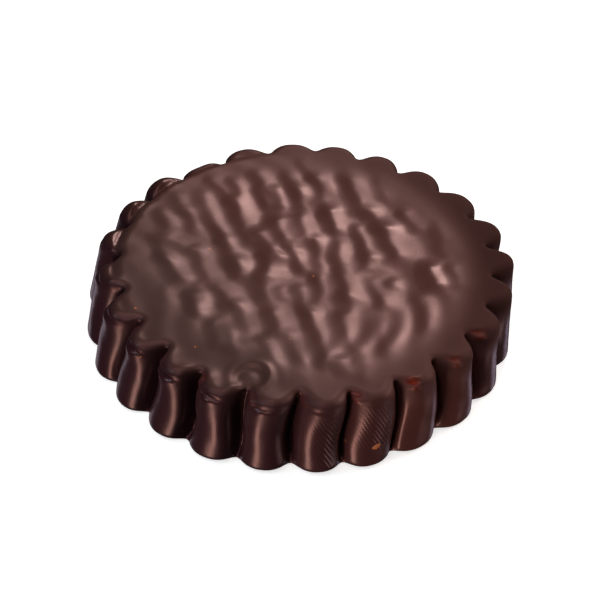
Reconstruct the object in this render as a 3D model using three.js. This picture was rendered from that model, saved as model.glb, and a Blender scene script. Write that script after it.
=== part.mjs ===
// A chocolate-coated Breton biscuit: a thick round butter biscuit with a fluted edge, wholly covered in
// dark chocolate. The coating is blown into ripples on top and runs down the flutes to a flat base.
// One solid, in millimetres, +Z up. The origin is the middle of the flat base.
import * as THREE from "three";

const degrees = THREE.MathUtils.degToRad;

// Driving dimensions
const CREST_RADIUS = 30; // to the outside of a flute, at the top edge
const HEIGHT = 12.2; // base to the middle of the rippled top
const FLUTES = 24;
const FLUTE_DEPTH = 2; // crest to crease, half way up
const TOP_EDGE = 1.6; // radius of the rounded top edge
const FOOT_EDGE = 1.3; // radius of the rounded foot
const FLARE = 1.25; // how much further out the foot is than the top edge
const LEAN = 0.8; // the foot lies this far to -X of the top

// Shape of one flute, seen from above
const FIRST_CREASE = degrees(134.2);
const CREASE_SOFTNESS = 0.1; // share of half a flute that rounds the crease
const LOBE_POWER = 2.35; // 2 is a round lobe, more is a flatter one
const FOOT_FILL = 0.45; // chocolate fills the creases towards the foot by this share of their depth

// Unevenness of the ring of flutes
const OUT_OF_ROUND = 0.32;
const CREST_WANDER = 0.12;
const WIDTH_WANDER = degrees(1);
const SWAY = degrees(0.6); // how far a flute sways sideways down its height
const DEPTH_WANDER = 0.17; // share of the flute's depth
const FLAT_FLUTE = degrees(126.5); // one flute at the back is pressed in
const FLAT_FLUTE_WIDTH = degrees(6);
const FLAT_FLUTE_DEPTH = 1.4;
const FLAT_SIDE = degrees(46); // the ring is a little flatter at the back right
const FLAT_SIDE_WIDTH = degrees(18);
const FLAT_SIDE_DEPTH = 0.6;

// The blown coating on top
const DISH = 1.1; // how far the middle lies below a place one crest radius out
const DISH_LEVEL = 0.75; // share of the dish that is below the mean height
const RIPPLE_LENGTH = 4.3; // faint ripples, crest to crest
const RIPPLE_HEIGHT = 0.03;
const RIDGE_SLOPE = 0.12;
const RIDGE_ROUNDNESS = 0.63; // half width of a ridge's rounded crest
const GROOVE_ANGLE = degrees(152); // a groove at the back left parts the flutes from the top
const GROOVE_WIDTH = degrees(30);
const GROOVE_RADIUS = 27.1;
const GROOVE = 0.4;
const GROOVE_SPREAD = 0.8;
const DIMPLE_PLACE = new THREE.Vector2(-6.4, -24.5); // a ring-shaped dimple at the front
const DIMPLE = 0.2;

// Ridges: the crest from x, y to x, y, how wide its right side is, its share of the slope
const RIDGES = [
  [12.1, 8.9, 13.7, 3.5, 2.8, 1.1],
  [9.6, 13.2, 11.5, 9.8, 1.8, 0.9],
  [6.5, 20.4, 8.2, 14.2, 2.3, 0.9],
  [1.5, 20.4, 3.4, 13.2, 2, 0.9],
  [4.2, 12.7, 4.6, 9.2, 2.3, 1.1],
  [-0.6, 11.1, 0.3, 6.8, 2.3, 1.1],
  [8.2, 9.2, 9.4, 3.2, 1.4, 0.9],
  [5, 5.3, 5.6, 0.4, 1.5, 1],
  [1.8, 6, 3, 0.4, 1.4, 0.9],
  [9.1, 2, 9.6, 0.4, 2, 1],
  [14.5, 12.9, 16.4, 9.8, 1.3, 0.8],
  [19.7, 10.2, 20.3, 5.3, 1.5, 0.4],
  [22.4, 6.5, 24, 2, 1.3, 0.4],
  [-1.3, 17.8, -0.3, 14.2, 1.8, 0.9],
  [-1.2, 4.2, 0, -0.5, 1.6, 0.9],
  [-0.6, 24.1, 0.6, 21.1, 1.2, 0.6],
  [11.2, 20.8, 11.7, 17.4, 1.5, 0.4],
  [-10.5, 18.6, -9.6, 16.1, 1.6, 0.9],
  [-14.2, 18.6, -11.4, 14.8, 1.4, 0.8],
  [-10.4, 13.8, -7.8, 5.3, 2, 1],
  [-15.5, 15.1, -11.6, 5.7, 1.7, 0.9],
  [-7.3, 21.1, -5.7, 17.4, 1.6, 0.7],
  [-4, 17.4, -3.3, 14.2, 1.6, 0.9],
  [-6.9, 16.9, -5.7, 14.2, 1.3, 0.7],
  [-3.1, 20.8, -0.8, 16.9, 1.3, 0.7],
  [-4.3, 9.8, -2.6, 6.2, 2.3, 1.4],
  [-6, 6.8, -3.3, 2, 2.2, 1.2],
  [-19.5, 4.5, -16.3, 2.4, 1.6, 1],
  [-11.3, 4.2, -9.6, -0.5, 1.9, 0.9],
  [-9.2, 0.2, -8.6, -2.6, 1.7, 0.9],
  [-5.2, 1.5, -4.9, -2.5, 1.9, 1.1],
  [-18.9, 14.2, -18.1, 11.8, 1.9, 0.9],
  [-17, 10.8, -16, 7.8, 1.7, 0.8],
  [-21, 10.2, -20.1, 7.2, 1.7, 0.8],
  [-21.1, 4.2, -19.5, -0.5, 1.3, 0.7],
  [-14.9, 2, -13.3, -4.2, 1.6, 0.7],
  [-19.5, -0.3, -17.5, -4, 2.4, 0.8],
  [-25, -0.7, -23.9, -3, 2.6, 0.5],
  [-15.2, -8.2, -14, -11.6, 1.5, 1.1],
  [-14.5, -5.8, -13.4, -8.6, 1.1, 0.6],
  [-11.7, -6.2, -9.6, -9.4, 2, 0.7],
  [-8.7, -9.4, -6.9, -14.6, 1.3, 0.7],
  [-3.7, -10.9, -2.8, -14.6, 2, 0.9],
  [-5.5, -2.8, -4.4, -7.2, 2.6, 0.5],
  [-2.6, -5.3, -2.3, -6.8, 1.3, 0.7],
  [-4.2, -17.4, -1.7, -24.6, 1.8, 0.7],
  [-11.6, -13.7, -11, -17.9, 1.7, 0.7],
  [-9.2, -15.6, -8.6, -18.6, 2, 0.7],
  [-6.3, -17.9, -4.5, -21.9, 2, 0.5],
  [-18.4, -17.1, -17.5, -20.1, 2.4, 0.5],
  [-19, -7, -18.5, -9.2, 1.2, 0.4],
  [10.3, -2.8, 11.8, -7.7, 1.5, 0.9],
  [11.3, -6.8, 12.2, -17.5, 3, 0.4],
  [6.2, -2.1, 6.5, -6.2, 2.5, 1.1],
  [6.7, -6.2, 7.3, -9.8, 2, 0.6],
  [6.4, -11.2, 7.1, -17.4, 2.5, 0.6],
  [2.3, -2.4, 2.9, -7.7, 1.6, 0.9],
  [1.7, -10.7, 4, -20.4, 2, 1],
  [6.2, -20.9, 6.5, -22.6, 1.5, 1.2],
  [9.1, -20.8, 9.6, -23.8, 1.4, 1.1],
  [18.2, 0.2, 18.9, -3, 2.2, 1.5],
  [22, 0.2, 22.6, -3, 1.6, 1.1],
  [17.1, -6.8, 17.6, -12.8, 1.7, 0.5],
  [23.5, -6.8, 24.3, -11.8, 1.2, 0.4],
  [13.4, -3, 13.5, -3.4, 1.2, 1],
  [-1.3, -15.8, 0.8, -20.9, 1.5, 0.7],
  [-0.1, -5.2, 1.4, -10.1, 1.3, 0.7],
  [1.1, -24.1, 1.7, -26.4, 1.8, 0.6],
];

// Where the top rises or sinks towards its edge: middle angle, how wide, from radius, to radius, by how much
const BANKS = [
  [225, 40, 20, 28, -0.4],
  [262, 36, 21, 29, -0.5],
  [150, 38, 25.8, 27.6, -0.9],
  [25, 55, 13, 27, 0.3],
];

// Small bumps near the edge: x, y, reach, height
const BUMPS = [
  [-15, -23.7, 1.3, 0.22],
  [-18.2, -20.3, 1.2, 0.2],
  [-11.7, -24.8, 1.1, 0.2],
  [-26.2, 8.3, 1.1, 0.4],
  [-27.7, 1.4, 1, 0.5],
  [-26.8, -5.9, 1, 0.4],
  [-21.5, 17.8, 1.6, 0.5],
  [-25.2, 12.1, 1.6, 0.5],
];

// Fineness of the facets
const STEPS_PER_FLUTE = 10;
const EDGE_STEPS = 4;
const WALL_STEPS = 5;
const FOOT_STEPS = 3;
const SHOULDER_STEPS = 2;
const TOP_SPACING = 1;
const BASE_RINGS = [60, 12]; // points on the rings that close the base

const TAU = 2 * Math.PI;
const PITCH = TAU / FLUTES;
const AROUND = FLUTES * STEPS_PER_FLUTE;
const SMALL_TURN = 0.03;
const clip = (t) => THREE.MathUtils.clamp(t, 0, 1);
const smooth = (t) => THREE.MathUtils.smoothstep(t, 0, 1);

// 1 at a value or in the middle of a spot, falling off around it.
const bell = (t, middle, width) => Math.exp(-(((t - middle) / width) ** 2));
const hump = (dx, dy, reach) => Math.exp(-(dx ** 2 + dy ** 2) / reach ** 2);

// 1 in the middle of a stretch of the ring, falling off to both sides of it.
const nearAngle = (angle, middle, width) => Math.exp((-2 * (1 - Math.cos(angle - middle))) / width ** 2);

// The whole coating leans: its top sits to +X of its foot.
const leanAt = (height) => LEAN * (height / HEIGHT - 0.5);

// 0 in a crease, 1 on the crest of a flute. Flutes differ in width and sway a little down their height.
function fluteShare(angle, height) {
  const waves = 0.8 * Math.cos(angle - 1.1) + Math.cos(2 * angle + 1.3) + 0.5 * Math.cos(3 * angle - 1.7);
  const sway = SWAY * Math.sin((TAU * height) / HEIGHT + 5 * angle);
  const turn = (angle + WIDTH_WANDER * waves + sway - FIRST_CREASE) / PITCH;
  return 1 - Math.abs(2 * (turn - Math.floor(turn)) - 1);
}

// How far a crease goes in. The flutes at the back are shallower, and all are shallower at the foot.
function fluteDepth(angle, height) {
  const around = Math.cos(2 * angle - 0.45) - Math.sin(angle) + 0.6 * Math.sin(7 * angle);
  return FLUTE_DEPTH * (1 + DEPTH_WANDER * around) * (1 + FOOT_FILL * (height / HEIGHT - 0.5));
}

// Radius of the outline at an angle and a height, before the edges are rounded.
function outline(angle, height) {
  const share = fluteShare(angle, height);
  const most = Math.hypot(1, CREASE_SOFTNESS) - CREASE_SOFTNESS;
  const soft = (Math.hypot(share, CREASE_SOFTNESS) - CREASE_SOFTNESS) / most;
  const uneven = OUT_OF_ROUND * Math.cos(3 * angle - 1.1) + CREST_WANDER * Math.sin(9 * angle);
  const flute = FLAT_FLUTE_DEPTH * nearAngle(angle, FLAT_FLUTE, FLAT_FLUTE_WIDTH);
  const side = FLAT_SIDE_DEPTH * nearAngle(angle, FLAT_SIDE, FLAT_SIDE_WIDTH);
  const crest = CREST_RADIUS + FLARE * (1 - height / HEIGHT) + uneven - flute - side;
  return crest - fluteDepth(angle, height) * (1 - soft) ** LOBE_POWER;
}

// The place on the outline at an angle and a height, moved some way into the coating, square to the outline.
function insetPlace(angle, height, inset) {
  const r = outline(angle, height);
  const change = outline(angle + SMALL_TURN, height) - outline(angle - SMALL_TURN, height);
  const outward = angle - Math.atan2(change / (2 * SMALL_TURN), r);
  const x = r * Math.cos(angle) - inset * Math.cos(outward);
  const y = r * Math.sin(angle) - inset * Math.sin(outward);
  return new THREE.Vector3(x + leanAt(height), y, height);
}

// Faint ripples that run across the whole top.
function rippleHeight(x, y) {
  const u = x / CREST_RADIUS;
  const v = y / CREST_RADIUS;
  const back = y - 0.5 * x + 3;
  const across = x + 0.25 * (back + Math.hypot(back, 10));
  const slow = Math.sin(7.3 * v + 2.2 * u + 0.4) + Math.sin(5.1 * u - 4.6 * v + 1.9);
  const waver = slow + 0.7 * Math.sin(13.7 * v - 6 * u);
  const strength = 0.75 + 0.35 * Math.sin(4.4 * u + 3.1 * v + 0.8) + 0.3 * Math.sin(9.5 * v - 5.2 * u + 2.5);
  return RIPPLE_HEIGHT * strength * Math.sin((TAU * across) / RIPPLE_LENGTH + 0.9 * waver);
}

// All the ridges together. Each falls off gently to its right and more steeply to its left.
function ridgeHeight(x, y) {
  const bend = 0.2 * Math.sin(0.55 * y + 0.3 * x) + 0.1 * Math.sin(1.3 * y - 0.6 * x + 1);
  let sum = 0;
  for (const [startX, startY, endX, endY, width, share] of RIDGES) {
    const [wayX, wayY] = [endX - startX, endY - startY];
    const [px, py] = [x + bend - startX, y - startY];
    const along = clip((px * wayX + py * wayY) / (wayX ** 2 + wayY ** 2));
    const [offX, offY] = [px - along * wayX, py - along * wayY];
    const apart = Math.hypot(offX, offY, RIDGE_ROUNDNESS);
    const toRight = 0.5 + (0.5 * offX) / apart;
    const reach = 0.2 + width * (0.88 + 0.5 * toRight);
    sum += share * width * clip(1 - (apart - RIDGE_ROUNDNESS) / reach) ** 1.7;
  }
  return RIDGE_SLOPE * (0.75 + 0.35 * hump(x - 1, y - 5, 15)) * sum;
}

// The ring-shaped dimple and the small bumps.
function markHeight(x, y) {
  const away = Math.hypot(x - DIMPLE_PLACE.x, y - DIMPLE_PLACE.y);
  const toRight = 0.5 + (0.5 * (x - DIMPLE_PLACE.x)) / (away + 0.1);
  const wall = (0.3 + 0.7 * toRight) * bell(away, 2.8, 0.7);
  const trough = (1.2 - 0.5 * toRight) * bell(away, 1.5, 0.8);
  let sum = DIMPLE * (wall - trough);
  for (const [bumpX, bumpY, reach, height] of BUMPS) sum += height * hump(x - bumpX, y - bumpY, reach);
  return sum;
}

// Height of the top at a place.
function topHeight(x, y) {
  const radius = Math.hypot(x, y);
  const angle = Math.atan2(y, x);
  let height = HEIGHT + DISH * ((radius / CREST_RADIUS) ** 2 - DISH_LEVEL);
  for (const [middle, width, from, to, by] of BANKS) {
    const near = nearAngle(angle, degrees(middle), degrees(width));
    height += by * near * smooth((radius - from) / (to - from));
  }
  height -= GROOVE * nearAngle(angle, GROOVE_ANGLE, GROOVE_WIDTH) * bell(radius, GROOVE_RADIUS, GROOVE_SPREAD);
  return height + rippleHeight(x, y) + ridgeHeight(x, y) + markHeight(x, y);
}

// A ring of points on the wall, set in from the outline by some distance at some height above the base.
function wallRing(inset, height) {
  return Array.from({ length: AROUND }, (_, i) => insetPlace((TAU * i) / AROUND, height, inset));
}

// A ring on the rounded top edge, which follows the ripples of the top.
function edgeRing(inset, drop) {
  return wallRing(inset, HEIGHT - drop).map((p) => p.setZ(topHeight(p.x, p.y) - drop));
}

// A ring on the top, part of the way from the fluted edge to the plain round middle.
function shoulderRing(share, middleRadius) {
  return wallRing(TOP_EDGE, HEIGHT).map((p) => {
    const round = middleRadius / Math.hypot(p.x, p.y);
    p.multiplyScalar(1 + (round - 1) * share);
    return p.setZ(topHeight(p.x, p.y));
  });
}

// A plain round ring of a number of points, at the height that a function gives.
function roundRing(radius, count, heightAt) {
  return Array.from({ length: count }, (_, i) => {
    const angle = (TAU * i) / count;
    const [x, y] = [radius * Math.cos(angle), radius * Math.sin(angle)];
    return new THREE.Vector3(x, y, heightAt(x, y));
  });
}

// All rings in order: from the middle of the top, over the edge, down the wall, to the middle of the base.
function allRings() {
  const middleRadius = CREST_RADIUS - FLUTE_DEPTH - TOP_EDGE - SHOULDER_STEPS * TOP_SPACING;
  const middleSteps = Math.round(middleRadius / TOP_SPACING);
  const rings = [roundRing(0, 1, topHeight)];
  for (let k = 1; k <= middleSteps; k++) {
    const radius = (middleRadius * k) / middleSteps;
    rings.push(roundRing(radius, Math.round((TAU * radius) / TOP_SPACING), topHeight));
  }
  for (let k = SHOULDER_STEPS - 1; k >= 0; k--) rings.push(shoulderRing(k / SHOULDER_STEPS, middleRadius));
  for (let k = 1; k <= EDGE_STEPS; k++) {
    const turn = (Math.PI / 2) * (k / EDGE_STEPS);
    rings.push(edgeRing(TOP_EDGE * (1 - Math.sin(turn)), TOP_EDGE * (1 - Math.cos(turn))));
  }
  for (let k = 1; k <= WALL_STEPS; k++) {
    rings.push(wallRing(0, THREE.MathUtils.lerp(HEIGHT - TOP_EDGE, FOOT_EDGE, k / WALL_STEPS)));
  }
  for (let k = 1; k <= FOOT_STEPS; k++) {
    const turn = (Math.PI / 2) * (k / FOOT_STEPS);
    rings.push(wallRing(FOOT_EDGE * (1 - Math.cos(turn)), FOOT_EDGE * (1 - Math.sin(turn))));
  }
  BASE_RINGS.forEach((count, k) => {
    const share = (BASE_RINGS.length - k) / (BASE_RINGS.length + 1);
    rings.push(roundRing(CREST_RADIUS * share, count, () => 0));
  });
  rings.push(roundRing(0, 1, () => 0));
  return rings;
}

// Triangles between two rings that may differ in their number of points. The second lies outside or below.
function stitch(a, b, startA, startB, triangles) {
  let [i, j] = [0, 0];
  const [stepsA, stepsB] = [a.length > 1 ? a.length : 0, b.length > 1 ? b.length : 0];
  while (i < stepsA || j < stepsB) {
    const nextA = i < stepsA ? (i + 1) / stepsA : Infinity;
    const nextB = j < stepsB ? (j + 1) / stepsB : Infinity;
    const [hereA, hereB] = [startA + (i % a.length), startB + (j % b.length)];
    if (nextB <= nextA) {
      j++;
      triangles.push(hereA, hereB, startB + (j % b.length));
    } else {
      i++;
      triangles.push(hereA, hereB, startA + (i % a.length));
    }
  }
}

function coatingGeometry() {
  const rings = allRings();
  const triangles = [];
  let start = 0;
  for (let k = 0; k + 1 < rings.length; k++) {
    stitch(rings[k], rings[k + 1], start, start + rings[k].length, triangles);
    start += rings[k].length;
  }
  const geometry = new THREE.BufferGeometry().setFromPoints(rings.flat());
  geometry.setIndex(triangles);
  geometry.computeVertexNormals();
  return geometry;
}

const darkChocolate = new THREE.MeshStandardMaterial({ color: 0x4a2a25, roughness: 0.35, metalness: 0 });

const coating = new THREE.Mesh(coatingGeometry(), darkChocolate);
coating.name = "chocolate_biscuit";

const biscuit = new THREE.Group();
biscuit.add(coating);

export default biscuit;
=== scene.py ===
import math

import bmesh
import bpy
from mathutils import Matrix, Vector, noise


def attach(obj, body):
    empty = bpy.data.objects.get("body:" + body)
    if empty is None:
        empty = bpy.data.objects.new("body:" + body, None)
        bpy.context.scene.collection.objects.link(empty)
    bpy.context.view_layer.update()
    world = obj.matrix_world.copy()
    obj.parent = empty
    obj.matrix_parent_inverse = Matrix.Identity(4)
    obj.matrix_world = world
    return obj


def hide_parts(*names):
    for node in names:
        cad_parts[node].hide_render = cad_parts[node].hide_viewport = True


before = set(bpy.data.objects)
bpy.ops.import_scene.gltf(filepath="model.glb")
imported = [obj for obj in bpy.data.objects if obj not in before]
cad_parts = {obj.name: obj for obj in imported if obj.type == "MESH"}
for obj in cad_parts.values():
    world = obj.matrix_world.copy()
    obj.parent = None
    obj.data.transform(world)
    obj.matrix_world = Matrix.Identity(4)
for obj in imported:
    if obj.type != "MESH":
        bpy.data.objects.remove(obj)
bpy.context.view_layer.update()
mm = 0.001  # sizes below are millimetres, Blender's are metres
tau = 2 * math.pi
degree = math.pi / 180
print("frame loaded:", sorted(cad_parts))


class Wire:
    # an output socket of a node tree: maths on it adds Math nodes, node() adds any other kind
    def __init__(self, tree, socket=None):
        self.tree = tree
        self.socket = socket

    def node(self, kind, settings=None, values=None, output=0):
        made = self.tree.nodes.new(kind)
        for name, value in (settings or {}).items():
            setattr(made, name, value)
        for name, value in (values or {}).items():
            if isinstance(value, Wire):
                self.tree.links.new(value.socket, made.inputs[name])
            else:
                made.inputs[name].default_value = value
        return Wire(self.tree, made.outputs[output] if made.outputs else None)

    def other(self, output):  # another output of the same node
        return Wire(self.tree, self.socket.node.outputs[output])

    def maths(self, operation, *values):
        return self.node("ShaderNodeMath", {"operation": operation}, dict(enumerate(values)))

    def vectors(self, operation, a, b):
        picked = 1 if operation == "DOT_PRODUCT" else 0
        return self.node("ShaderNodeVectorMath", {"operation": operation}, {0: a, 1: b}, picked)

    def __add__(self, other):
        return self.maths("ADD", self, other)

    def __radd__(self, other):
        return self.maths("ADD", other, self)

    def __sub__(self, other):
        return self.maths("SUBTRACT", self, other)

    def __rsub__(self, other):
        return self.maths("SUBTRACT", other, self)

    def __mul__(self, other):
        return self.maths("MULTIPLY", self, other)

    def __rmul__(self, other):
        return self.maths("MULTIPLY", other, self)

    def __truediv__(self, other):
        return self.maths("DIVIDE", self, other)

    def __rtruediv__(self, other):
        return self.maths("DIVIDE", other, self)

    def __pow__(self, other):
        return self.maths("POWER", self, other)

    def __neg__(self):
        return self.maths("MULTIPLY", self, -1.0)


def sin(w):
    return w.maths("SINE", w)


def cos(w):
    return w.maths("COSINE", w)


def tan(w):
    return w.maths("TANGENT", w)


def angleOf(y, x):
    return y.maths("ARCTAN2", y, x)


def fraction(w):
    return w.maths("FRACT", w)


def size(w):
    return w.maths("ABSOLUTE", w)


def root(w):
    return w.maths("SQRT", w)


def exp(w):
    return w.maths("EXPONENT", w)


def larger(a, b):
    return a.maths("MAXIMUM", a, b)


def clip(w):  # held between 0 and 1
    return w.node("ShaderNodeClamp", {}, {"Value": w})


def smooth(w):  # 0 below 0, 1 above 1, soft between
    t = clip(w)
    return t * t * (3 - 2 * t)


def rise(w, low, high):  # 0 at low, 1 at high, soft between
    return smooth((w - low) / (high - low))


def bell(w, middle, width):  # 1 at a value, falling off to both sides of it
    return exp(-(((w - middle) / width) ** 2))


def hump(dx, dy, reach):  # 1 in the middle, falling off over a reach
    return exp(-(dx * dx + dy * dy) / (reach * reach))


def nearAngle(angle, middle, width):  # 1 at a place on the ring, falling off to both sides, in degrees
    return exp((cos(angle - middle * degree) - 1) * (2 / (width * degree) ** 2))


def split(w):
    parts = w.node("ShaderNodeSeparateXYZ", {}, {0: w})
    return parts, parts.other(1), parts.other(2)


def join(tree, x, y, z):
    return tree.node("ShaderNodeCombineXYZ", {}, {0: x, 1: y, 2: z})


def scaled(vector, amount):
    return vector.node("ShaderNodeVectorMath", {"operation": "SCALE"}, {0: vector, "Scale": amount})


def mixed(factor, a, b):  # colour a where the factor is 0, b where it is 1
    return factor.node("ShaderNodeMix", {"data_type": "RGBA"}, {0: factor, 6: a, 7: b}, 2)


def noiseAt(place, scale, seed, detail=0.0):
    values = {"Vector": place, "W": seed, "Scale": scale, "Detail": detail}
    return place.node("ShaderNodeTexNoise", {"noise_dimensions": "4D"}, values)


# The coating: lengths in millimetres, angles in degrees. The main sizes are the solid's own.
coating = {
    "crestRadius": 30.0,  # to the outside of a flute, at the top edge
    "height": 12.2,  # base to the middle of the top
    "flutes": 24.0,
    "fluteDepth": 2.0,
    "firstCrease": 134.2,
    "creaseSoftness": 0.1,  # share of half a flute that rounds the crease
    "lobePower": 2.35,  # 2 is a round lobe, more is a flatter one
    "footFill": 0.45,  # share of the flutes' depth that is filled towards the foot
    "topEdge": 1.6,  # radius of the rounded top edge
    "footEdge": 1.3,
    "flare": 1.25,  # how much further out the foot is
    "lean": 0.8,  # the foot lies this far to -X of the top
    "outOfRound": 0.32,
    "crestWander": 0.12,
    "depthWander": 0.17,  # share of the flutes' depth
    "widthWander": 1.0,
    "sway": 0.6,  # of a flute, sideways down its height
    "dish": 1.1,  # how far the middle lies below a place one crest radius out
    "dishLevel": 0.75,  # share of the dish below the mean height
    "ridgeSlope": 0.12,
    "ridgeRound": 0.63,  # half width of a ridge's rounded crest
    "rippleLength": 4.3,
    "rippleHeight": 0.03,
    "groove": 0.5,
    "dimple": 0.2,
    "wallWaver": 0.16,
    "lip": 0.4,
    "nick": 0.55,
    "crease": 1.8,  # how far the slits in the creases go in
    "run": 0.25,
    "seed": 7.0,
}
rings = {"top": 88, "edge": 15, "wall": 37, "foot": 7}
ringCount = sum(rings.values())

# Ridges blown in the top: the crest from x, y to x, y, how wide its right side is, share of the full slope
ridges = [
    (12.1, 8.9, 13.7, 3.5, 2.8, 1.1),
    (9.6, 13.2, 11.5, 9.8, 1.8, 0.9),
    (6.5, 20.4, 8.2, 14.2, 2.3, 0.9),
    (1.5, 20.4, 3.4, 13.2, 2.0, 0.9),
    (4.2, 12.7, 4.6, 9.2, 2.3, 1.1),
    (-0.6, 11.1, 0.3, 6.8, 2.3, 1.1),
    (8.2, 9.2, 9.4, 3.2, 1.4, 0.9),
    (5.0, 5.3, 5.6, 0.4, 1.5, 1.0),
    (1.8, 6.0, 3.0, 0.4, 1.4, 0.9),
    (9.1, 2.0, 9.6, 0.4, 2.0, 1.0),
    (14.5, 12.9, 16.4, 9.8, 1.3, 0.8),
    (19.7, 10.2, 20.3, 5.3, 1.5, 0.4),
    (22.4, 6.5, 24.0, 2.0, 1.3, 0.4),
    (-1.3, 17.8, -0.3, 14.2, 1.8, 0.9),
    (-1.2, 4.2, 0.0, -0.5, 1.6, 0.9),
    (-0.6, 24.1, 0.6, 21.1, 1.2, 0.6),
    (11.2, 20.8, 11.7, 17.4, 1.5, 0.4),
    (-10.5, 18.6, -9.6, 16.1, 1.6, 0.9),
    (-14.2, 18.6, -11.4, 14.8, 1.4, 0.8),
    (-10.4, 13.8, -7.8, 5.3, 2.0, 1.0),
    (-15.5, 15.1, -11.6, 5.7, 1.7, 0.9),
    (-7.3, 21.1, -5.7, 17.4, 1.6, 0.7),
    (-4.0, 17.4, -3.3, 14.2, 1.6, 0.9),
    (-6.9, 16.9, -5.7, 14.2, 1.3, 0.7),
    (-3.1, 20.8, -0.8, 16.9, 1.3, 0.7),
    (-4.3, 9.8, -2.6, 6.2, 2.3, 1.4),
    (-6.0, 6.8, -3.3, 2.0, 2.2, 1.2),
    (-19.5, 4.5, -16.3, 2.4, 1.6, 1.0),
    (-11.3, 4.2, -9.6, -0.5, 1.9, 0.9),
    (-9.2, 0.2, -8.6, -2.6, 1.7, 0.9),
    (-5.2, 1.5, -4.9, -2.5, 1.9, 1.1),
    (-18.9, 14.2, -18.1, 11.8, 1.9, 0.9),
    (-17.0, 10.8, -16.0, 7.8, 1.7, 0.8),
    (-21.0, 10.2, -20.1, 7.2, 1.7, 0.8),
    (-21.1, 4.2, -19.5, -0.5, 1.3, 0.7),
    (-14.9, 2.0, -13.3, -4.2, 1.6, 0.7),
    (-19.5, -0.3, -17.5, -4.0, 2.4, 0.8),
    (-25.0, -0.7, -23.9, -3.0, 2.6, 0.5),
    (-15.2, -8.2, -14.0, -11.6, 1.5, 1.1),
    (-14.5, -5.8, -13.4, -8.6, 1.1, 0.6),
    (-11.7, -6.2, -9.6, -9.4, 2.0, 0.7),
    (-8.7, -9.4, -6.9, -14.6, 1.3, 0.7),
    (-3.7, -10.9, -2.8, -14.6, 2.0, 0.9),
    (-5.5, -2.8, -4.4, -7.2, 2.6, 0.5),
    (-2.6, -5.3, -2.3, -6.8, 1.3, 0.7),
    (-4.2, -17.4, -1.7, -24.6, 1.8, 0.7),
    (-11.6, -13.7, -11.0, -17.9, 1.7, 0.7),
    (-9.2, -15.6, -8.6, -18.6, 2.0, 0.7),
    (-6.3, -17.9, -4.5, -21.9, 2.0, 0.5),
    (-18.4, -17.1, -17.5, -20.1, 2.4, 0.5),
    (-19.0, -7.0, -18.5, -9.2, 1.2, 0.4),
    (10.3, -2.8, 11.8, -7.7, 1.5, 0.9),
    (11.3, -6.8, 12.2, -17.5, 3.0, 0.4),
    (6.2, -2.1, 6.5, -6.2, 2.5, 1.1),
    (6.7, -6.2, 7.3, -9.8, 2.0, 0.6),
    (6.4, -11.2, 7.1, -17.4, 2.5, 0.6),
    (2.3, -2.4, 2.9, -7.7, 1.6, 0.9),
    (1.7, -10.7, 4.0, -20.4, 2.0, 1.0),
    (6.2, -20.9, 6.5, -22.6, 1.5, 1.2),
    (9.1, -20.8, 9.6, -23.8, 1.4, 1.1),
    (18.2, 0.2, 18.9, -3.0, 2.2, 1.5),
    (22.0, 0.2, 22.6, -3.0, 1.6, 1.1),
    (17.1, -6.8, 17.6, -12.8, 1.7, 0.5),
    (23.5, -6.8, 24.3, -11.8, 1.2, 0.4),
    (13.4, -3.0, 13.5, -3.4, 1.2, 1.0),
    (-1.3, -15.8, 0.8, -20.9, 1.5, 0.7),
    (-0.1, -5.2, 1.4, -10.1, 1.3, 0.7),
    (1.1, -24.1, 1.7, -26.4, 1.8, 0.6),
]

# Where the ring of flutes is pressed in: middle angle, how wide, by how much
flats = [
    (126.5, 6, 1.4),
    (46, 18, 0.6),
]

# Where the top rises or sinks towards its edge: middle angle, how wide, from radius, to radius, by how much
banks = [
    (225, 40, 20.0, 28.0, -0.4),
    (262, 36, 21.0, 29.0, -0.5),
    (150, 38, 25.8, 27.6, -0.9),
    (25, 55, 13.0, 27.0, 0.3),
]

# Where the coating was pinched between two flutes, at the top edge: x, y, how much red glow is painted
# there
nicks = [
    (0.7, -28.7, 1.0),
    (8.1, -27.5, 1.0),
    (15.5, -23.8, 1.0),
    (21.8, -19.8, 1.0),
    (25.2, -13.8, 1.0),
    (-6.2, -28.2, 0.3),
    (-12.9, -24.7, 0.3),
    (-18.9, -21.4, 0.2),
    (-22.8, -14.8, 0.2),
]

# Small bumps near the edge: x, y, reach, height
bumps = [
    (-15.0, -23.7, 1.3, 0.22),
    (-18.2, -20.3, 1.2, 0.2),
    (-11.7, -24.8, 1.1, 0.2),
    (-9.0, -27.0, 0.9, 0.15),
    (-26.2, 8.3, 0.8, 0.7),
    (-27.7, 1.4, 1.0, 0.5),
    (-26.8, -5.9, 1.0, 0.4),
    (-21.5, 17.8, 1.6, 0.5),
    (-25.2, 12.1, 1.6, 0.5),
]

# The groove behind the flutes at the back left: middle angle, how wide, radius, spread
groove = (152, 30, 27.1, 0.5)

# The ring-shaped dimple at the front: x, y, radius of its ring, radius of its trough
dimple = (-6.4, -24.5, 2.8, 1.5)

# The lips at the front left: middle angle, how wide, place across a flute, how wide
lipPlace = (228, 48, 0.42, 0.24)


def fluteTurn(angle, level, s):  # 0 in a crease, 1 in the next one anticlockwise
    waves = 0.8 * cos(angle - 1.1) + cos(2 * angle + 1.3) + 0.5 * cos(3 * angle - 1.7)
    sway = s["sway"] * sin(tau * level / s["height"] + 5 * angle)
    shift = (s["widthWander"] * waves + sway - s["firstCrease"]) * degree
    return fraction((angle + shift) * s["flutes"] / tau)


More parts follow.
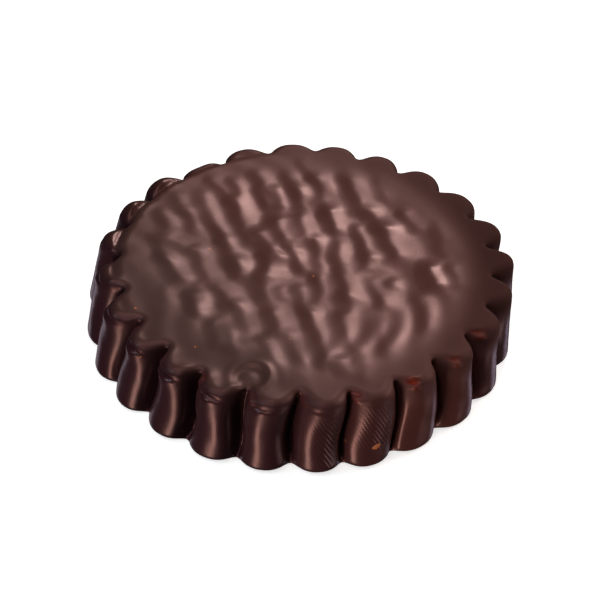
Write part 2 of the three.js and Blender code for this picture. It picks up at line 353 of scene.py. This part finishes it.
def outline(angle, level, s):  # radius of the fluted wall
    soft = s["creaseSoftness"]
    share = 1 - size(2 * fluteTurn(angle, level, s) - 1)  # 1 on a crest
    share = (root(share * share + soft * soft) - soft) / (root(soft * soft + 1) - soft)
    up = level / s["height"]
    around = cos(2 * angle - 0.45) - sin(angle) + 0.6 * sin(7 * angle)
    depth = s["fluteDepth"] * (1 + s["depthWander"] * around) * (1 + s["footFill"] * (up - 0.5))
    uneven = s["outOfRound"] * cos(3 * angle - 1.1) + s["crestWander"] * sin(9 * angle)
    crest = s["crestRadius"] + s["flare"] * (1 - up) + uneven
    for middle, width, pressed in flats:
        crest = crest - pressed * nearAngle(angle, middle, width)
    return crest - depth * clip(1 - share) ** s["lobePower"]


def ripplesOf(x, y, s):  # faint ripples, which run straight in front and slant at the back
    u = x / s["crestRadius"]
    v = y / s["crestRadius"]
    back = y - 0.5 * x + 3
    across = x + 0.25 * (back + root(back * back + 100))
    slow = sin(7.3 * v + 2.2 * u + 0.4) + sin(5.1 * u - 4.6 * v + 1.9)
    waver = slow + 0.7 * sin(13.7 * v - 6 * u)
    ripple = sin(tau * across / s["rippleLength"] + 0.9 * waver)
    strength = 0.75 + 0.35 * sin(4.4 * u + 3.1 * v + 0.8) + 0.3 * sin(9.5 * v - 5.2 * u + 2.5)
    return s["rippleHeight"] * strength * ripple


def dishOf(x, y, s):  # the dished top, with its banks and its groove
    angle = angleOf(y, x)
    radius = root(x * x + y * y)
    dish = s["dish"] * ((radius / s["crestRadius"]) ** 2 - s["dishLevel"])
    for middle, width, start, end, height in banks:
        dish = dish + height * nearAngle(angle, middle, width) * rise(radius, start, end)
    middle, width, ring, spread = groove
    return dish - s["groove"] * nearAngle(angle, middle, width) * bell(radius, ring, spread)


def marksOf(x, y, s):  # the dimple at the front and the small bumps near the edge
    middleX, middleY, ring, trough = dimple
    away = root((x - middleX) ** 2 + (y - middleY) ** 2)
    toRight = 0.5 + 0.5 * (x - middleX) / (away + 0.1)  # the dimple's ring is higher there
    raised = (0.3 + 0.7 * toRight) * bell(away, ring, 0.7)
    sunk = (1.2 - 0.5 * toRight) * bell(away, trough, 0.8)
    marks = s["dimple"] * (raised - sunk)
    for bumpX, bumpY, reach, height in bumps:
        marks = marks + height * hump(x - bumpX, y - bumpY, reach)
    return marks


def pinchesOf(x, y, down):  # how far a place is in a pinched dent, on the lips around it, and how much red glow is painted on it
    dents, lips, red = 0.0, 0.0, 0.0
    for placeX, placeY, redness in nicks:
        outX, outY = Vector((placeX, placeY)).normalized()
        out = outX * (x - placeX) + outY * (y - placeY)
        along = outX * (y - placeY) - outY * (x - placeX)
        near = bell(out, 0.5, 1.3)
        dent = near * bell(along, 0.0, 0.65) * bell(down, 1.1, 0.3)
        above = bell(along, 0.0, 0.9) * bell(down, 0.45, 0.35)
        below = bell(along, 0.1, 0.5) * bell(down, 1.9, 0.4)
        lip = near * (above + below)
        dents = dents + dent
        lips = lips + lip
        red = red + redness * (1.2 * dent + 0.35 * lip)
    return dents, lips, red


def attribute(tree, name):
    return tree.node("GeometryNodeInputNamedAttribute", {"data_type": "FLOAT"}, {"Name": name})


def store(geometry, name, value):
    settings = {"data_type": "FLOAT", "domain": "POINT"}
    values = {"Geometry": geometry, "Name": name, "Value": value}
    return geometry.node("GeometryNodeStoreNamedAttribute", settings, values)


def raiseRidges(shape, lines, s):
    # adds the ridges one by one: each is a line in the piece's first mesh, from an even point to the next
    tree = shape.tree
    opening = tree.nodes.new("GeometryNodeRepeatInput")
    closing = tree.nodes.new("GeometryNodeRepeatOutput")
    opening.pair_with_output(closing)
    opening.inputs["Iterations"].default_value = len(ridges)
    tree.links.new(shape.socket, opening.inputs["Geometry"])
    turn = Wire(tree, opening.outputs["Iteration"])
    inside = Wire(tree, opening.outputs["Geometry"])
    point = shape.node("GeometryNodeInputPosition")

    def of(kind, value, index):
        settings = {"data_type": kind, "domain": "POINT"}
        values = {"Geometry": lines, "Value": value, "Index": index}
        return shape.node("GeometryNodeSampleIndex", settings, values)

    first = of("FLOAT_VECTOR", point, 2 * turn)
    way = point.vectors("SUBTRACT", of("FLOAT_VECTOR", point, 2 * turn + 1), first)
    x, y, _ = split(scaled(point, 1 / mm))
    bend = 0.2 * sin(0.55 * y + 0.3 * x) + 0.1 * sin(1.3 * y - 0.6 * x + 1)
    off = point.vectors("SUBTRACT", join(x, x + bend, y, 0.0), first)
    along = clip(off.vectors("DOT_PRODUCT", off, way) / way.vectors("DOT_PRODUCT", way, way))
    off = off.vectors("SUBTRACT", off, scaled(way, along))
    rounded = s["ridgeRound"]
    apart = root(off.vectors("DOT_PRODUCT", off, off) + rounded * rounded)
    toRight = 0.5 + 0.5 * split(off)[0] / apart  # the right side of a ridge is the wide one
    width = of("FLOAT", attribute(shape, "width"), 2 * turn)
    share = of("FLOAT", attribute(shape, "share"), 2 * turn)
    reach = 0.2 + width * (0.88 + 0.5 * toRight)
    uneven = 0.75 + 0.35 * hump(x - 1, y - 5, 15)  # the ridges are higher behind the middle
    ridge = share * uneven * width * clip(1 - (apart - rounded) / reach) ** 1.7
    inside = store(inside, "ridge", attribute(shape, "ridge") + ridge)
    tree.links.new(inside.socket, closing.inputs["Geometry"])
    return Wire(tree, closing.outputs["Geometry"])


def wallRelief(point, down, s):  # waver of the wall, the lips of the top and the runs in the creases
    turn = attribute(point, "turn")
    angle = attribute(point, "angle")
    lumps = noiseAt(point, 0.22, s["seed"], 1.0) - 0.5
    waver = 2 * s["wallWaver"] * lumps * rise(down, 1.5, 4.0)
    middle, width, across, spread = lipPlace
    lipAt = 2.2 + 0.8 * (noiseAt(point, 0.2, s["seed"] + 3) - 0.5)
    roll = rise(down, lipAt, lipAt + 0.5) * rise(down, lipAt + 2.5, lipAt + 0.5)
    fold = 0.8 * roll - bell(down, lipAt, 0.35)
    lip = s["lip"] * fold * bell(turn, across, spread) * nearAngle(angle, middle, width)
    runAt = 0.15 + 0.05 * sin(0.9 * down + 3 * angle)
    run = s["run"] * bell(turn, runAt, 0.04) * rise(down, 0.8, 2.0) * rise(down, 8.5, 5.0)
    return waver + lip + run * nearAngle(angle, 238, 24)


def slitOf(down, s):  # the creases go in deeper than the fluted outline, more widely at the front left
    turn = attribute(down, "turn")
    narrow = 0.055
    wide = narrow + 0.05 * nearAngle(attribute(down, "angle"), 238, 30)
    return s["crease"] * (bell(turn, 0.0, narrow) + bell(turn, 1.0, wide)) * rise(down, 0.8, 3.0)


def spreadRings(start, s):
    # a square grid, whose square rings become the rings from the middle of the top down to the foot
    count = 2 * ringCount + 1
    grid = start.node("GeometryNodeMeshGrid", {}, {0: 2.0, 1: 2.0, 2: count, 3: count})
    gridX, gridY, _ = split(start.node("GeometryNodeInputPosition"))
    reach = larger(size(gridX), size(gridY))
    angle = angleOf(tan(gridY / reach * (math.pi / 4)), tan(gridX / reach * (math.pi / 4)))
    ring = reach * ringCount
    topShare = clip(ring / rings["top"])
    edgeTurn = clip((ring - rings["top"]) / rings["edge"]) * (math.pi / 2)
    wallShare = clip((ring - rings["top"] - rings["edge"]) / rings["wall"])
    footTurn = clip((ring - (ringCount - rings["foot"])) / rings["foot"]) * (math.pi / 2)
    wallHeight = s["height"] - s["topEdge"] - s["footEdge"]
    drop = s["topEdge"] * (1 - cos(edgeTurn)) + wallHeight * wallShare + s["footEdge"] * sin(footTurn)
    level = s["height"] - drop
    inset = s["topEdge"] * (1 - sin(edgeTurn)) + s["footEdge"] * (1 - cos(footTurn))
    # the fluted outline, moved in square to itself where the edges are round
    smallTurn = 0.03
    radius = outline(angle, level, s)
    change = outline(angle + smallTurn, level, s) - outline(angle - smallTurn, level, s)
    outward = angle - angleOf(change / (2 * smallTurn), radius)
    leaning = s["lean"] * (level / s["height"] - 0.5)
    # on the top the rings go from round ones in the middle to the fluted edge
    fluted = rise(topShare, 0.7, 1.0)
    plain = (s["crestRadius"] - s["topEdge"] - s["fluteDepth"]) * (1 - fluted)
    x = topShare * (plain * cos(angle) + fluted * (radius * cos(angle) - inset * cos(outward) + leaning))
    y = topShare * (plain * sin(angle) + fluted * (radius * sin(angle) - inset * sin(outward)))
    shape = store(grid, "turn", fluteTurn(angle, level, s))
    shape = store(shape, "angle", angle)
    shape = store(shape, "down", s["topEdge"] * edgeTurn + wallHeight * wallShare)
    shape = store(shape, "foot", footTurn)
    shape = store(shape, "ridge", 0.0)
    values = {"Geometry": shape, "Position": scaled(join(start, x, y, level), mm)}
    return start.node("GeometryNodeSetPosition", {}, values)


def addRelief(start, shape, s):
    point = scaled(start.node("GeometryNodeInputPosition"), 1 / mm)
    x, y, _ = split(point)
    down = attribute(start, "down")
    dents, lips, red = pinchesOf(x, y, down)
    # the nick attribute carries the painted red glow of light through the thin pinched chocolate
    shape = store(shape, "nick", red)
    shape = store(shape, "pinch", 0.7 * lips - dents)
    # the relief of the top, which fades down the wall
    ridge = s["ridgeSlope"] * attribute(start, "ridge")
    relief = ripplesOf(x, y, s) + dishOf(x, y, s) + marksOf(x, y, s) + ridge
    lift = join(start, 0.0, 0.0, relief * (1 - rise(down, 1.0, 10.0)) * mm)
    shape = start.node("GeometryNodeSetPosition", {}, {"Geometry": shape, "Offset": lift})
    # what stands out from the wall and the edge, square to the surface, and the slits, which go straight in
    fade = (1 - smooth(attribute(start, "foot"))) * mm
    out = wallRelief(point, down, s) + s["nick"] * attribute(start, "pinch")
    push = scaled(start.node("GeometryNodeInputNormal"), out * fade)
    angle = attribute(start, "angle")
    slit = scaled(join(start, cos(angle), sin(angle), 0.0), -(slitOf(down, s) * fade))
    values = {"Geometry": shape, "Offset": start.vectors("ADD", push, slit)}
    return start.node("GeometryNodeSetPosition", {}, values)


def closeBase(start, shape):  # a flat base inside the foot's rim
    neighbours = start.node("GeometryNodeInputMeshEdgeNeighbors")
    settings = {"data_type": "INT", "operation": "EQUAL"}
    onRim = start.node("FunctionNodeCompare", settings, {2: neighbours, 3: 1})
    rim = start.node("GeometryNodeMeshToCurve", {}, {"Mesh": shape, "Selection": onRim})
    base = start.node("GeometryNodeFillCurve", {}, {"Curve": rim})
    base = start.node("GeometryNodeFlipFaces", {}, {"Mesh": base})
    whole = start.node("GeometryNodeJoinGeometry", {}, {0: base})
    start.tree.links.new(shape.socket, whole.socket.node.inputs[0])
    return start.node("GeometryNodeMergeByDistance", {}, {"Geometry": whole, "Distance": 0.002 * mm})


def coatTree(material):
    tree = bpy.data.node_groups.new("fluted coating", "GeometryNodeTree")
    tree.interface.new_socket("Geometry", in_out="INPUT", socket_type="NodeSocketGeometry")
    tree.interface.new_socket("Geometry", in_out="OUTPUT", socket_type="NodeSocketGeometry")
    for name, value in coating.items():
        socket = tree.interface.new_socket(name, in_out="INPUT", socket_type="NodeSocketFloat")
        socket.default_value = value
    start = Wire(tree)
    lines = start.node("NodeGroupInput")
    s = {name: lines.other(name) for name in coating}
    shape = raiseRidges(spreadRings(start, s), lines, s)
    whole = closeBase(start, addRelief(start, shape, s))
    whole = start.node("GeometryNodeSetShadeSmooth", {}, {"Geometry": whole, "Shade Smooth": True})
    whole = start.node("GeometryNodeRealizeInstances", {}, {"Geometry": whole})
    whole = start.node("GeometryNodeSetMaterial", {}, {"Geometry": whole, "Material": material})
    start.node("NodeGroupOutput", {}, {0: whole})
    return tree


def makeCoating(material):
    tree = coatTree(material)
    mesh = bpy.data.meshes.new("chocolate_coating")
    points = [(x, y, 0) for ridge in ridges for x, y in (ridge[0:2], ridge[2:4])]
    mesh.from_pydata(points, [(i, i + 1) for i in range(0, len(points), 2)], [])
    for name, column in (("width", 4), ("share", 5)):
        values = [ridge[column] for ridge in ridges for _ in range(2)]
        mesh.attributes.new(name, "FLOAT", "POINT").data.foreach_set("value", values)
    piece = bpy.data.objects.new("chocolate_coating", mesh)
    bpy.context.scene.collection.objects.link(piece)
    modifier = piece.modifiers.new("fluted coating", "NODES")
    modifier.node_group = tree
    for item in tree.interface.items_tree:
        if item.in_out == "INPUT" and item.name in coating:
            modifier[item.identifier] = coating[item.name]
    graph = bpy.context.evaluated_depsgraph_get()
    shaped = piece.evaluated_get(graph)
    piece.data = bpy.data.meshes.new_from_object(shaped, preserve_all_data_layers=True, depsgraph=graph)
    piece.modifiers.clear()
    triangles = sum(len(face.vertices) - 2 for face in piece.data.polygons)
    print("coating:", len(piece.data.vertices), "points,", triangles, "triangles")
    return piece


# The chocolate's colours and finish
chocolate = {
    "litTop": (0.096, 0.035, 0.028, 1),  # the top towards the back right, the lit side of the painted shade
    "shadedTop": (0.06, 0.03, 0.026, 1),  # the top towards the front left, painted shade
    # painted shade for the edge at the right and the lobes at the back left
    "rim": (0.03, 0.009, 0.007, 1),
    # painted shade and light: the walls dark towards the left, lighter and redder towards the front right
    "shadedLeftWall": (0.03, 0.0095, 0.014, 1),
    "litRightWall": (0.085, 0.028, 0.024, 1),
    "paintedShade": (0.003, 0.001, 0.0015, 1),  # painted shade on the right sides of the flutes at the front left
    # painted red glow of light through the thin pinched chocolate
    "pinched": (0.3, 0.035, 0.018, 1),
    "speck": (0.4, 0.12, 0.03, 1),
    "print": (0.02, 0.007, 0.006, 1),
    "sheen": (1, 0.48, 0.46, 1),
    "ior": 1.5,
    "roughness": 0.33,
    "grain": 0.03,
    "printPitch": 0.47,
    "printSlant": 28.0,
    "printDepth": 0.2,
    "bump": 0.1,  # of which the grain and the print are shares
}


def coatPlaces(start):  # where on the coating a point is
    place = scaled(start.node("ShaderNodeTexCoord").other("Object"), 1 / mm)
    x, y, z = split(place)
    at = {"place": place, "x": x, "y": y, "z": z, "angle": angleOf(y, x), "radius": root(x * x + y * y)}
    for name in ("down", "turn", "nick"):
        at[name] = start.node("ShaderNodeAttribute", {"attribute_name": name}).other("Fac")
    at["nick"] = clip(at["nick"])
    at["right"] = nearAngle(at["angle"], 8, 75)
    at["backLeft"] = nearAngle(at["angle"], 155, 38) * rise(at["radius"], 26.3, 28.0)
    return at


def printLines(at):  # fine prints of a fingertip on two flutes at the front
    angle, z = at["angle"], at["z"]
    first = nearAngle(angle, 278.5, 2.4) * rise(z, 0.8, 2.0) * rise(z, 10.0, 8.5)
    second = nearAngle(angle, 291.5, 3.2) * rise(z, 2.5, 4.0) * rise(z, 11.2, 10.0)
    slant = chocolate["printSlant"] * degree
    across = math.cos(slant) * coating["crestRadius"] * angle + math.sin(slant) * z
    return (first + second) * sin(across * (tau / chocolate["printPitch"]))


def topColour(at):
    # painted shade: the top darker and greyer towards the front left, spread with random patches
    patches = 0.6 * (noiseAt(at["place"], 0.09, 3.0, 2.0) - 0.5)
    shadedTop = clip(patches + rise(at["x"] + 0.8 * at["y"], 8.0, -30.0))
    # painted shade: darker towards the edge at the right and on the lobes at the back left
    rim = clip(0.95 * at["right"] * rise(at["radius"], 20.0, 27.0) + 0.7 * at["backLeft"])
    return mixed(rim, mixed(shadedTop, chocolate["litTop"], chocolate["shadedTop"]), chocolate["rim"])


def wallColour(at):
    # painted light and shade: the walls lighter and redder towards the front right, darker elsewhere
    colour = mixed(nearAngle(at["angle"], 312, 32), chocolate["shadedLeftWall"], chocolate["litRightWall"])
    # painted shade towards the creases, on the right sides of the flutes at the front left
    shaded = 0.85 * rise(at["turn"], 0.6, 0.85) * nearAngle(at["angle"], 240, 32)
    colour = mixed(shaded, colour, chocolate["paintedShade"])
    # painted shade on the tops of the lobes at the right
    return mixed(at["right"] * rise(at["down"], 5.0, 1.5), colour, chocolate["rim"])


def coatColour(at, lines):
    colour = mixed(rise(at["down"], 0.0, 1.8), topColour(at), wallColour(at))
    # painted red glow on the pinched dents and lips
    colour = mixed(at["nick"], colour, chocolate["pinched"])
    # a few specks of biscuit that show through
    values = {"Vector": at["place"], "Scale": 0.2}
    cells = at["place"].node("ShaderNodeTexVoronoi", {"voronoi_dimensions": "3D"}, values)
    colour = mixed(rise(cells, 0.045, 0.025), colour, chocolate["speck"])
    return mixed(clip(0.45 * lines), colour, chocolate["print"])


def coatRoughness(at):
    # duller over the edge at the right, shinier beside that, on the folds and on the lobes at the back left
    radius, down = at["radius"], at["down"]
    overEdge = at["right"] * rise(radius, 20.0, 27.5) * rise(down, 6.0, 2.5)
    beside = at["right"] * rise(radius, 12.0, 20.0) * (1 - overEdge)
    middle, width, across, spread = lipPlace
    lip = nearAngle(at["angle"], middle, width) * bell(down, 2.5, 0.7) * bell(at["turn"], across, spread)
    fold = clip(2 * at["nick"] + lip)
    rough = chocolate["roughness"] + 0.6 * overEdge * (1 - fold)
    rough = rough - 0.07 * beside - 0.14 * fold - 0.1 * at["backLeft"]
    return rough + 0.08 * (noiseAt(at["place"], 0.3, 5.0, 2.0) - 0.5)


def chocolateMaterial():
    material = bpy.data.materials.new("dark chocolate")
    material.use_nodes = True
    material.node_tree.nodes.clear()
    start = Wire(material.node_tree)
    at = coatPlaces(start)
    lines = printLines(at)
    height = chocolate["grain"] * noiseAt(at["place"], 5.0, 9.0, 2.0) - chocolate["printDepth"] * lines
    bump = {"Strength": 1.0, "Distance": chocolate["bump"] * mm, "Height": height}
    values = {
        "Base Color": coatColour(at, lines),
        "Roughness": coatRoughness(at),
        "Normal": start.node("ShaderNodeBump", {}, bump),
        "IOR": chocolate["ior"],
        "Specular Tint": chocolate["sheen"],
    }
    surface = start.node("ShaderNodeBsdfPrincipled", {}, values)
    start.node("ShaderNodeOutputMaterial", {}, {0: surface})
    print("chocolate:", len(material.node_tree.nodes), "nodes")
    return material


def plainMaterial(name, colour, roughness):
    material = bpy.data.materials.new(name)
    material.use_nodes = True
    surface = material.node_tree.nodes["Principled BSDF"]
    surface.inputs["Base Color"].default_value = colour
    surface.inputs["Roughness"].default_value = roughness
    return material, surface


crumb = {
    "angle": 291.4,
    "up": 4.0,
    "size": (0.6, 0.3, 0.36),  # half its length, depth and height
    "tilt": 24.0,
    "lumps": 0.35,
    "colour": (0.45, 0.12, 0.03, 1),
    "roughness": 0.6,
}


def makeCrumb(coat):  # a crumb of biscuit that sticks to the wall
    form = bmesh.new()
    bmesh.ops.create_icosphere(form, subdivisions=3, radius=1.0)
    across, deep, tall = crumb["size"]
    for v in form.verts:
        v.co *= 1 + crumb["lumps"] * noise.noise(1.7 * v.co + Vector((3, 1, 8)))
        v.co = Vector((v.co.x * across, v.co.y * deep, v.co.z * tall))
    facing = Matrix.Rotation(math.radians(crumb["angle"] + 90), 4, "Z")
    turn = facing @ Matrix.Rotation(math.radians(-crumb["tilt"]), 4, "Y")
    out = Matrix.Rotation(math.radians(crumb["angle"]), 3, "Z") @ Vector((1, 0, 0))
    outside = (1.3 * coating["crestRadius"] * out + Vector((0, 0, crumb["up"]))) * mm
    place = coat.ray_cast(outside, -out)[1]
    moved = Matrix.Translation(place) @ Matrix.Scale(mm, 4) @ turn
    bmesh.ops.transform(form, matrix=moved, verts=form.verts)
    for face in form.faces:
        face.smooth = True
    mesh = bpy.data.meshes.new("biscuit_crumb")
    form.to_mesh(mesh)
    form.free()
    mesh.materials.append(plainMaterial("golden crumb", crumb["colour"], crumb["roughness"])[0])
    piece = bpy.data.objects.new("biscuit_crumb", mesh)
    bpy.context.scene.collection.objects.link(piece)
    print("crumb:", len(mesh.polygons), "triangles")
    return piece


# The pale stage, in metres
stage = {"half": 3.0, "colour": (0.9, 0.9, 0.9, 1), "glow": 0.7, "world": 0.03}

# Soft rectangles that face the biscuit: turn about +Z (0 is +X) and height in degrees, then distance, width
# and height in metres, watts and colour. Those below the floor stand for what a white table throws back.
lights = {
    "key": (76, 37.5, 2.0, 0.36, 0.36, 11.0, (1.0, 0.9, 0.85)),
    "right": (25, 28, 0.6, 0.2, 0.2, 1.5, (1.0, 0.88, 0.78)),
    "overhead": (200, 75, 0.6, 0.4, 0.4, 1.0, (1.0, 0.93, 0.89)),
    "front left": (238, 4, 0.6, 0.2, 0.2, 0.35, (1.0, 0.9, 0.84)),
    "streak": (239, -26, 0.5, 0.13, 0.4, 1.25, (1.0, 0.88, 0.74)),
    "left glints": (200, 42, 0.6, 0.08, 0.08, 0.4, (0.5, 0.85, 1.0)),
    "front right": (340, -16, 0.6, 0.3, 0.3, 0.5, (1.0, 0.9, 0.9)),
    "right edge": (31, -33, 0.5, 0.2, 0.2, 0.1, (0.9, 0.76, 1.0)),
    "left edge": (140, -36, 0.5, 0.2, 0.2, 0.09, (0.95, 0.82, 1.0)),
    "lips": (250, 48, 0.6, 0.05, 0.05, 0.3, (1.0, 0.93, 0.95)),
}


def wayTo(turn, up):  # the unit vector at a turn about +Z and a height, in degrees
    turn, up = math.radians(turn), math.radians(up)
    return Vector((math.cos(turn) * math.cos(up), math.sin(turn) * math.cos(up), math.sin(up)))


def makeLights():
    for name, (turn, up, distance, width, tall, power, colour) in lights.items():
        light = bpy.data.lights.new(name, "AREA")
        light.shape = "RECTANGLE"
        light.size, light.size_y = width, tall
        light.energy = power
        light.color = colour
        box = bpy.data.objects.new(name, light)
        way = wayTo(turn, up)
        box.location = way * distance
        box.rotation_euler = (-way).to_track_quat("-Z", "Y").to_euler()
        bpy.context.scene.collection.objects.link(box)
    print("lights:", len(lights))


def makeStage():
    mesh = bpy.data.meshes.new("floor")
    half = stage["half"]
    corners = [(-half, -half, 0), (half, -half, 0), (half, half, 0), (-half, half, 0)]
    mesh.from_pydata(corners, [], [(0, 1, 2, 3)])
    floor = bpy.data.objects.new("floor", mesh)
    bpy.context.scene.collection.objects.link(floor)
    material, surface = plainMaterial("pale floor", stage["colour"], 1.0)
    surface.inputs["Specular IOR Level"].default_value = 0.0
    surface.inputs["Emission Color"].default_value = (1, 1, 1, 1)
    surface.inputs["Emission Strength"].default_value = stage["glow"]
    mesh.materials.append(material)
    floor.visible_glossy = False
    floor.visible_diffuse = False
    floor.visible_shadow = False
    world = bpy.data.worlds.new("studio")
    bpy.context.scene.world = world
    world.use_nodes = True
    world.node_tree.nodes["Background"].inputs["Color"].default_value = (1, 1, 1, 1)
    world.node_tree.nodes["Background"].inputs["Strength"].default_value = stage["world"]
    view = bpy.context.scene.view_settings
    view.view_transform = "Standard"
    view.look = "None"
    print("stage: floor and world")


# Where the photograph was taken from: the aim and the distance in millimetres, angles in degrees
shot = {
    "aim": (-0.12, -0.95, 6.0),
    "distance": 319.5,
    "azimuth": 0.12,  # from -Y towards +X
    "elevation": 39.77,
    "roll": 2.84,
    "lens": 132.0,
}


def makeCamera():
    data = bpy.data.cameras.new("camera")
    data.lens = shot["lens"]
    data.sensor_width = 36.0
    data.clip_start, data.clip_end = 0.01, 10.0
    camera = bpy.data.objects.new("camera", data)
    back = wayTo(shot["azimuth"] - 90, shot["elevation"])
    place = (Vector(shot["aim"]) + back * shot["distance"]) * mm
    upright = (-back).to_track_quat("-Z", "Y").to_matrix().to_4x4()
    roll = Matrix.Rotation(math.radians(shot["roll"]), 4, "Z")
    camera.matrix_world = Matrix.Translation(place) @ upright @ roll
    bpy.context.scene.collection.objects.link(camera)
    bpy.context.scene.camera = camera
    print("camera:", tuple(round(v, 4) for v in place))


makeCamera()
makeStage()
makeLights()
coat = makeCoating(chocolateMaterial())
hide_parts("chocolate_biscuit")
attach(coat, "root")
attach(makeCrumb(coat), "root")
